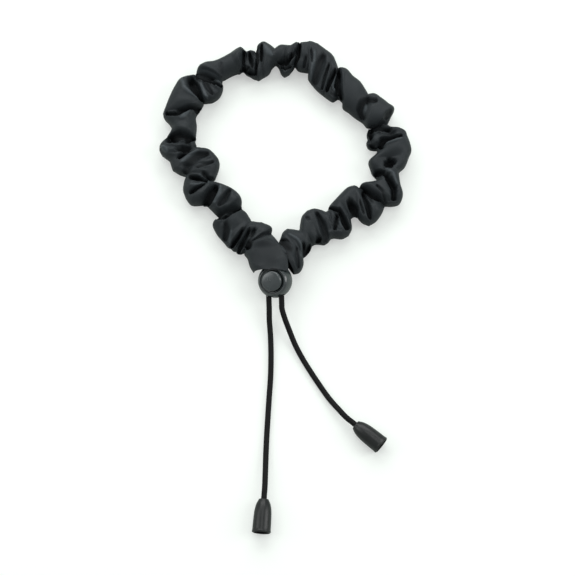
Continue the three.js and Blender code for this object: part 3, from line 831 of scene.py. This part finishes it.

# Hollows (depth above 0) and crests (below 0) of the cloth, as the photograph shows them:
# depth in millimetres, half width in pixels at the start and at the end, then pixels (u, v).
# Each hollow also gets painted shade and each crest a painted highlight; the shade follows the
# listed depth, however far the cloth really sinks.
HOLLOWS = [
    # left side, from the top down to the lock
    (6.2, 6.0, 2.0, (191, 80), (194, 86), (198, 93), (202, 100)),
    (-0.9, 2.0, 1.5, (182, 80), (184, 87), (190, 92), (199, 98)),
    (6.2, 2.4, 1.6, (197, 75), (204, 77), (212, 80), (221, 85)),
    (-0.9, 1.8, 1.6, (198, 71), (207, 72), (215, 76), (221, 82)),
    (2.8, 3.2, 2.2, (204, 80), (208, 87), (212, 93)),
    (-0.8, 1.6, 1.6, (201, 83), (204, 91), (207, 98)),
    (5.1, 2.4, 2.2, (167, 113), (176, 113), (184, 109.5), (190, 106.5), (197, 107), (203, 108)),
    (-1, 2.5, 2.0, (182, 117), (189, 110)),
    (3.9, 3.0, 2.0, (196, 109), (199, 113)),
    (5.8, 4.0, 3.6, (169, 140), (174, 137), (180, 134.5), (187, 136.5)),
    (5.1, 2.4, 2.4, (186, 139), (195, 138)),
    (0.9, 1.6, 1.6, (221, 63), (221, 76)),
    (6, 3.2, 3.0, (178, 148), (189, 147.5)),
    (4.7, 2.2, 1.6, (179, 157), (184, 152.5), (189, 149.5)),
    (-0.8, 2.0, 1.6, (182, 161), (190, 154), (197, 150)),
    (2.9, 6.0, 3.6, (186, 171), (188, 164), (193, 159), (199, 155), (207, 153.5)),
    (2.2, 1.6, 1.4, (196, 167), (203, 164.5), (213, 161.5)),
    (4.9, 2.8, 1.0, (191, 177), (199, 178), (207, 181)),
    (-1, 1.0, 0.9, (200, 174.5), (204, 178), (209, 182)),
    (4.1, 2.2, 1.0, (191, 192), (197, 187.5), (204, 184)),
    (-0.8, 1.3, 1.1, (191, 184), (203, 182.5)),
    (2.6, 2.4, 2.2, (203, 172), (208, 178)),
    (6, 4.8, 3.6, (206, 204), (210, 196), (216, 188)),
    (-0.9, 2.0, 1.6, (214, 202), (220, 192), (220, 186)),
    (2.9, 3.4, 3.2, (229, 190), (225, 198), (219, 204)),
    (6, 1.8, 1.5, (217, 217.5), (226, 215.5), (233, 211), (241, 208)),
    (2.9, 4.2, 3.6, (226, 223), (227, 231), (225, 239)),
    (-0.7, 1.4, 1.4, (231, 230), (229, 241)),
    (5.1, 2.6, 1.2, (232, 246), (234, 241), (239, 234), (242, 229)),
    (4.7, 2.4, 1.8, (239, 252), (241, 245), (245, 237), (249, 229)),
    (2.6, 2.2, 1.8, (251, 236), (255, 229)),
    (5.3, 3.4, 3.0, (248, 247), (249.5, 241)),
    (1.6, 1.2, 1.0, (257, 237.5), (262, 234), (271, 233.5)),
    (-1.2, 3.0, 3.0, (163, 147), (166, 151)),
    # across the top
    (-0.9, 3.5, 2.5, (264, 46.5), (268, 51), (272, 55)),
    (4.1, 1.4, 1.4, (243.5, 52), (243.5, 64)),
    (4.1, 2.2, 1.8, (249.5, 53), (251, 58), (252, 64)),
    (4.5, 2.4, 1.8, (241, 69.5), (248, 66)),
    (4.5, 2.6, 2.6, (246, 70.5), (255, 73)),
    (4.1, 1.4, 1.2, (257, 49), (258, 58), (256, 66), (256, 74)),
    (4.1, 1.5, 1.2, (262, 45), (261, 60)),
    (5.8, 3.0, 2.4, (279, 61.5), (287, 59.5), (292, 55)),
    (4.5, 2.0, 2.0, (282, 66.5), (290, 66)),
    (4.7, 1.4, 1.4, (300, 44), (299, 54), (295, 64)),
    (2.2, 1.6, 1.6, (306, 56), (304, 67)),
    (1.8, 1.1, 1.0, (311, 49), (312.5, 61)),
    # right side, from the top down
    (2.9, 5.0, 5.0, (323, 56), (320, 64), (317, 73), (315, 82)),
    (-0.8, 1.8, 1.8, (315, 52), (313, 66), (310, 80)),
    (2.8, 1.6, 1.8, (329, 64), (325, 75), (322, 88)),
    (5.1, 1.8, 1.8, (335, 70), (330, 80), (327, 90)),
    (-0.8, 1.3, 1.3, (337, 73), (333, 82), (335, 89)),
    (6.2, 3.4, 2.0, (339, 74), (337, 84), (340, 92), (342, 98)),
    (1.6, 2.4, 2.4, (332, 93), (337, 95)),
    (2.9, 3.0, 5.0, (376, 100), (368, 100), (362, 104), (360, 110), (363, 117)),
    (-0.9, 1.6, 1.6, (366, 103), (364, 113)),
    (2.9, 3.6, 3.2, (386, 117), (390, 111)),
    (6.2, 2.2, 2.2, (371, 129), (380, 127.5), (390, 129)),
    (4.9, 3.2, 2.6, (371, 130), (371, 137)),
    (6.2, 4.4, 1.6, (381, 146), (383, 139.5), (391, 137), (401, 135.5)),
    (-0.8, 1.6, 1.4, (383, 144), (392, 140.5), (401, 138)),
    (4.1, 2.6, 2.4, (371, 145), (376, 147)),
    (6.4, 5.0, 4.6, (387.5, 163), (393, 161.5)),
    (4.5, 3.4, 3.2, (376, 175), (381, 171)),
    (5.8, 2.4, 3.4, (384, 171), (389, 179), (394, 187), (394, 198)),
    (-0.8, 1.4, 1.4, (386, 168), (393, 173), (397, 184)),
    (5.1, 1.5, 1.7, (361, 187), (368, 192), (375, 198), (379, 200)),
    (4.1, 2.6, 2.6, (363, 193), (367, 202), (369, 210), (370, 217)),
    (1.8, 1.2, 1.2, (360, 201), (364, 213)),
    (2, 1.5, 1.2, (377, 185), (383, 191), (385, 201)),
    (6, 4.8, 3.6, (350, 202), (354, 209), (356, 215)),
    (5.1, 2.0, 3.8, (340, 209.5), (343, 217), (347, 227)),
    (-0.8, 1.3, 1.3, (340, 214), (341, 226)),
    (4.1, 2.2, 2.0, (337, 215), (335, 228)),
    (3.9, 1.2, 1.2, (330, 208), (338, 209)),
    (2.95, 3.0, 4.2, (317, 213), (322, 223), (325, 234), (325, 241)),
    (4.7, 2.6, 2.4, (317, 241), (320, 238)),
    (5.1, 3.2, 2.6, (305, 254), (309, 245)),
    (1.4, 1.6, 1.6, (306, 217), (309, 218.5)),
    (6.2, 5.2, 5.2, (279, 243), (284.5, 244.5), (289.5, 248.5)),
    (2.0, 3.4, 2.6, (288, 250), (285.5, 257), (287, 262)),
    (1.9, 1.8, 2.2, (296.5, 248), (297, 257), (298, 267)),
    (5.1, 1.2, 1.8, (303.5, 243), (304, 250), (304.5, 256)),
    (-0.8, 1.4, 1.2, (289, 234), (298, 239), (301.5, 246), (301.5, 256)),
    # a broad, shallow hollow across the panel, there mostly for its painted shade
    (1.3, 16.0, 16.0, (264, 246), (270, 262)),
]
EDGE_MORE = 0.4               # pixels from a fold line's end to the cloth's very edge
EDGE_DOWN = 0.5               # pixels that the whole line is lower in the photograph
OVER_CORD = 0.55              # the cloth's upper side stays this far above the drawcord
CORD_FLAT = 1.2               # as far out as this to each side,
CORD_SLOPE = 0.35             # falls off this gently beside it
FAR_FROM = 3.2                # and from here on
FAR_SLOPE = 1.0               # by this much more
LEAST_TOP = 1.6               # the lowest that the upper side may lie over the table
DEEPEST = 4.5                 # a hollow of this depth gets the full painted shade
SPREAD = 0.5                  # pixels that a hollow's rim reaches past its half width
TAPER = 0.65                  # a hollow's width at its tips, as a share of its own
WIDEST = 1.1                  # and halfway between them
STEEP_FROM = 3.0              # hollows this deep have steep sides
STEEP_POWER = 3.2             # the power of a steep hollow's section
SOFT_POWER = 2                # and of a soft one's or a crest's,
SOFT_EASE = 1.3               # which also eases out at its rim
TOP_FROM = 0.55               # below this share of a section's height, strokes fade out
BLADE = 0.8                   # that a thin ridge may stand above the cloth beside it
BLADE_REACHES = ((0, 2), (0, 3), (1, 2), (0, 5))     # (along or round, rings or sides to look)
BLADE_SMOOTHING = (0, 0, 1, 0)                       # along, along, round, along
NEAR_LOCK_V = 225             # below this line of the photograph the tube's two ends overlap
LOCK_U = 279                  # and lie to the left and to the right of this one
CLOTH_FROM_BALL = 8.5         # from the ball's centre
HEM_FROM_BALL = 8.2


def fold_table():
    """Every line of the casing in millimetres: edges' plan, heights, floors and lean."""
    rows = list(PANEL_LINES)
    for line in FOLD_LINES:
        heights = line[4:7]
        low = max(0.0, RAISED_BELOW - max(heights)) * RAISE
        if max(heights) > PINCHED_BELOW:
            heights = tuple(PUFF + (h - PUFF) * KEPT for h in heights)
        rows.append(line[:4] + heights + (TABLE_GAP + low, TABLE_GAP + low, 0.0))
    table = []
    for u0, v0, u1, v1, h0, hm, h1, f0, f1, lean in rows:
        length = math.hypot(u1 - u0, v1 - v0)
        du, dv = (u1 - u0) / length * EDGE_MORE, (v1 - v0) / length * EDGE_MORE
        u0, v0, u1, v1 = u0 - du, v0 - dv + EDGE_DOWN, u1 + du, v1 + dv + EDGE_DOWN
        out = seen_at(u0, v0, (f0 + EDGE * (h0 - f0)) * MM) / MM
        inn = seen_at(u1, v1, (f1 + EDGE * (h1 - f1)) * MM) / MM
        table.append((out.x, out.y, inn.x, inn.y, h0, hm, h1, f0, f1, lean))
    return np.array(table)


def between_lines(table):
    """Rounds the cloth over its crests and leaves its creases sharp, at even spacing."""
    middle = (table[:, :2] + table[:, 2:4]) / 2
    step = np.maximum(np.linalg.norm(np.diff(table[:, :2], axis=0), axis=1),
                      np.linalg.norm(np.diff(table[:, 2:4], axis=0), axis=1))
    step = 0.5 * step + 0.5 * np.linalg.norm(np.diff(middle, axis=0), axis=1)
    step = np.maximum(step, LEAST_STEP)
    slope = np.diff(table, axis=0) / step[:, None]
    before = np.vstack([slope[:1], slope])
    after = np.vstack([slope, slope[-1:]])
    share = np.concatenate([[0.5], step[1:] / (step[1:] + step[:-1]), [0.5]])[:, None]
    smooth = before * share + after * (1 - share)
    enter, leave = smooth.copy(), smooth.copy()
    for column in (4, 5, 6):
        crest = (before[:, column] > 0) & (after[:, column] < 0)
        crease = (before[:, column] < 0) & (after[:, column] > 0)
        enter[crest, column] = leave[crest, column] = 0
        enter[crease, column] = before[crease, column] * CREASE
        leave[crease, column] = after[crease, column] * CREASE
    height = table[:, 4:7].mean(axis=1)
    pinched = np.zeros(len(table), bool)
    pinched[1:-1] = (height[1:-1] < height[:-2]) & (height[1:-1] < height[2:])
    for column in range(4):
        enter[pinched, column] = before[pinched, column] * PINCH
        leave[pinched, column] = after[pinched, column] * PINCH
    made = []
    for k, length in enumerate(step):
        count = max(2, int(round(length / RING_SPACING)))
        for t in np.arange(count) / count:
            a, b, m0, m1 = table[k], table[k + 1], leave[k] * length, enter[k + 1] * length
            made.append((2 * t ** 3 - 3 * t ** 2 + 1) * a + (t ** 3 - 2 * t ** 2 + t) * m0
                        + (3 * t ** 2 - 2 * t ** 3) * b + (t ** 3 - t ** 2) * m1)
    made.append(table[-1])
    return np.array(made)


def casing_rings(table):
    """The tube's sections [count, sides, 3], and how far up each point is, as a share."""
    angle = np.concatenate([np.linspace(0, math.pi, TOP_SIDES, endpoint=False),
                            np.linspace(math.pi, 2 * math.pi, UNDER_SIDES, endpoint=False)])
    across = -np.sign(np.cos(angle)) * np.abs(np.cos(angle)) ** (2 / FULLNESS)
    up = np.sign(np.sin(angle)) * np.abs(np.sin(angle)) ** (2 / FULLNESS)
    share = (across + 1) / 2
    ox, oy, ix, iy, h0, hm, h1, f0, f1, lean = (table[:, k:k + 1] for k in range(10))
    at = np.clip(across, -HEIGHTS_TO, HEIGHTS_TO) / HEIGHTS_AT
    height = hm + (h1 - h0) / 2 * at + ((h0 + h1) / 2 - hm) * at ** 2
    ease = share * share * (3 - 2 * share)
    floor = f0 + (f1 - f0) * ease
    middle = floor + EDGE * (height - floor)
    z = middle + np.where(up > 0, up * (height - middle), up * (middle - floor))
    below = np.clip(-up, 0, 1)
    x = ox + (ix - ox) * share
    y = oy + (iy - oy) * share + lean * below ** LEAN_EASE
    rings = np.stack([x, y, z], axis=2)
    return rings, np.clip(up, 0, 1)[None, :] * np.ones((len(table), 1))


def pixels_of(points):
    """Where the photograph shows points given in millimetres."""
    turn = np.array(CAMERA_TURN)
    local = (points * MM - np.array(CAMERA_AT)) @ turn
    scale = FOCAL_MM / SENSOR_MM * PHOTO_PIXELS / -local[..., 2]
    return (PHOTO_PIXELS / 2 + local[..., 0] * scale, PHOTO_PIXELS / 2 - local[..., 1] * scale)


def sink_hollows(rings, up):
    """Presses the hollows into the upper side of the cloth and lifts its crests; gives each hollow
    painted shade and each crest a painted highlight.
    """
    u, v = pixels_of(rings)
    sunk, lifted = np.zeros(u.shape), np.zeros(u.shape)
    painted_shade = np.zeros(u.shape)
    for depth, start, end, *route in HOLLOWS:
        best = np.full(u.shape, np.inf)
        pieces = len(route) - 1
        for k, ((u0, v0), (u1, v1)) in enumerate(zip(route, route[1:])):
            du, dv = u1 - u0, v1 - v0
            t = np.clip(((u - u0) * du + (v - v0) * dv) / (du * du + dv * dv), 0, 1)
            run = (k + t) / pieces
            width = start + (end - start) * run
            width = width * (TAPER + (WIDEST - TAPER) * np.sin(run * math.pi))
            away = np.hypot(u - u0 - du * t, v - v0 - dv * t) / (width + SPREAD)
            best = np.minimum(best, away)
        side = near_side(u.shape, route)
        soft = np.clip(1 - best ** SOFT_POWER, 0, 1)
        steep = np.clip(1 - best ** STEEP_POWER, 0, 1)
        shape = (steep if depth >= STEEP_FROM else soft ** SOFT_EASE) * side
        if depth > 0:
            sunk = np.maximum(sunk, depth * shape)
            # painted shade for the hollow, by its listed depth, even where the cloth can't sink that
            # far
            painted_shade = np.maximum(painted_shade, soft * side * min(1.0, depth / DEEPEST))
        else:
            lifted = np.maximum(lifted, -depth * shape)
    cover = np.clip(up / TOP_FROM, 0, 1)
    z = without_blades(rings[..., 2] + (lifted - sunk) * cover, up)
    least = np.maximum(LEAST_TOP, above_cord(rings))
    rings = rings.copy()
    rings[..., 2] = np.where(up > 0, np.maximum(z, np.minimum(least, rings[..., 2])), z)
    # returns the rings with the painted shade and the painted highlight
    return rings, painted_shade * cover, lifted * cover


def without_blades(z, up):
    """Lowers the cloth where it would stand up as a thin blade between two hollows."""
    lowest = z
    for axis, reach in BLADE_REACHES:
        beside = np.maximum(np.roll(lowest, reach, axis), np.roll(lowest, -reach, axis))
        lowered = np.where(up > 0, np.minimum(lowest, beside + BLADE), lowest)
        lowest = np.vstack([lowest[:reach], lowered[reach:-reach], lowest[-reach:]])
    drop = z - lowest
    for axis in BLADE_SMOOTHING:
        around = (np.roll(drop, 1, axis) + np.roll(drop, -1, axis)) / 2
        drop = np.where(up > 0, (drop + around) / 2, drop)
    return z - drop


def above_cord(rings):
    """The lowest that the cloth's upper side may lie over the drawcord."""
    cord = drawcord_path(1.0 * MM) / MM
    least = np.zeros(rings.shape[:2])
    for x, y, z in cord:
        beside = np.hypot(rings[..., 0] - x, rings[..., 1] - y)
        top = z + CORD_R / MM + OVER_CORD - CORD_SLOPE * np.maximum(beside - CORD_FLAT, 0)
        top -= FAR_SLOPE * np.maximum(beside - FAR_FROM, 0)
        least = np.maximum(least, top)
    return least


def near_side(shape, route):
    """Keeps a hollow near the lock on its own end of the tube."""
    rows = np.ones(shape)
    if route[0][1] > NEAR_LOCK_V:
        middle = shape[0] // 2
        if route[0][0] < LOCK_U:
            rows[middle:] = 0
        else:
            rows[:middle] = 0
    return rows


def clear_of_ball(rings, least):
    """Keeps the cloth off the ball of the lock."""
    away = rings - np.array(LOCK_AT) / MM
    size = np.linalg.norm(away, axis=2, keepdims=True)
    return np.where(size < least, rings + away / size * (least - size), rings)


def turned_in(rings):
    """The hem: the cloth goes over the mouth's lip and back inside the tube."""
    centres = rings.mean(axis=1)
    run = distances(centres)
    depth = int(np.searchsorted(run, HEM_DEPTH))
    inside = []
    for k in range(depth, -1, -1):
        away = rings[k] - centres[k]
        size = np.linalg.norm(away, axis=1)[:, None]
        inset = HEM_INSET if k else LIP_INSET
        inner = rings[k] - away / size * np.minimum(inset, size * INSET_MOST)
        inner[:, 2] -= np.clip(away[:, 2] / HEM_SIDE, -1, 1) * HEM_BELOW * (k > 0)
        inside.append(inner)
    return np.array(inside)


def make_casing():
    """The satin tube with a hem at each mouth; the hems get full painted shade, so they are dark."""
    rings, up = casing_rings(between_lines(fold_table()))
    rings, painted_shade, crest = sink_hollows(rings, up)
    rings = clear_of_ball(rings, CLOTH_FROM_BALL)
    hem_left = clear_of_ball(turned_in(rings), HEM_FROM_BALL)
    hem_right = clear_of_ball(turned_in(rings[::-1])[::-1], HEM_FROM_BALL)
    mesh = skin("casing_satin", np.vstack([hem_left, rings, hem_right]) * MM, caps=False)
    # painted shade and painted highlight at each vertex; the hems get full painted shade
    for name, values in (("painted_shade", painted_shade), ("crest", crest)):
        hems = [np.full(hem.shape[:2], float(name == "painted_shade")) for hem in (hem_left, hem_right)]
        layer = mesh.attributes.new(name, "FLOAT", "POINT")
        layer.data.foreach_set("value", np.vstack([hems[0], values, hems[1]]).ravel())
    weld(mesh, 0)
    piece = show("casing_satin", mesh, satin, "band", "satin")
    piece.modifiers.new("cloth_thickness", "SOLIDIFY").thickness = CLOTH_THICKNESS * MM
    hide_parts("casing")


make_casing()

# ---- table and light ----
TABLE_HALF = 3.0
FLOOR_COLOR = (0.57, 0.62, 0.58)
FLOOR_LIFT = 0.40             # what the camera alone sees on top of the table's own light
WORLD_STRENGTH = 0.41         # the white round the object, as it lights; the camera sees it at 1


def floor_surface():
    """White table: a plain diffuse grey that the camera sees lifted to white."""
    material = bpy.data.materials.new("white_table")
    material.use_nodes = True
    tree = material.node_tree
    tree.nodes.clear()
    path = tree.nodes.new("ShaderNodeLightPath")
    seen = Value(tree, path.outputs["Is Camera Ray"])
    diffuse = node(tree, "ShaderNodeBsdfDiffuse", None, {"Color": (*FLOOR_COLOR, 1)})
    lift = node(tree, "ShaderNodeEmission", None,
                {"Color": (1, 1, 1, 1), "Strength": seen * FLOOR_LIFT})
    both = node(tree, "ShaderNodeAddShader", None, {0: diffuse, 1: lift})
    out = tree.nodes.new("ShaderNodeOutputMaterial")
    tree.links.new(both.socket, out.inputs["Surface"])
    return material


def make_floor():
    """The table's top at height 0."""
    body = bmesh.new()
    bmesh.ops.create_grid(body, x_segments=1, y_segments=1, size=TABLE_HALF)
    mesh = bpy.data.meshes.new("table")
    body.to_mesh(mesh)
    body.free()
    mesh.materials.append(floor_surface())
    table = bpy.data.objects.new("table", mesh)
    bpy.context.scene.collection.objects.link(table)


def make_world():
    """Even white light from all round."""
    world = bpy.data.worlds.new("studio")
    world.use_nodes = True
    tree = world.node_tree
    background = next(n for n in tree.nodes if n.type == "BACKGROUND")
    background.inputs["Color"].default_value = (1, 1, 1, 1)
    path = tree.nodes.new("ShaderNodeLightPath")
    seen = Value(tree, path.outputs["Is Camera Ray"])
    strength = WORLD_STRENGTH + seen * (1 - WORLD_STRENGTH)
    tree.links.new(strength.socket, background.inputs["Strength"])
    bpy.context.scene.world = world


def make_lamp(name, at, toward, size, power):
    """A soft box at one point that faces another, its size in metres and its power in watts."""
    data = bpy.data.lights.new(name, "AREA")
    data.shape = "RECTANGLE"
    data.size, data.size_y = size
    data.energy = power
    lamp = bpy.data.objects.new(name, data)
    turn = (Vector(toward) - Vector(at)).to_track_quat("-Z", "Y")
    lamp.matrix_world = Matrix.Translation(at) @ turn.to_matrix().to_4x4()
    bpy.context.scene.collection.objects.link(lamp)


make_floor()
make_world()
make_lamp("soft_north", (-0.10, 0.85, 0.75), (0, 0, 0), (1.4, 0.8), 9.5)
make_lamp("soft_top", (0.01, 0.17, 1.2), (0.01, -0.10, 0), (0.40, 0.40), 1.5)
make_lamp("soft_left", (-0.90, 0.05, 0.65), (0, -0.02, 0), (0.5, 0.8), 2.7)
make_lamp("soft_right", (0.90, 0.00, 0.65), (0, -0.02, 0), (0.5, 0.8), 4.4)

bpy.context.scene.view_settings.view_transform = "Standard"
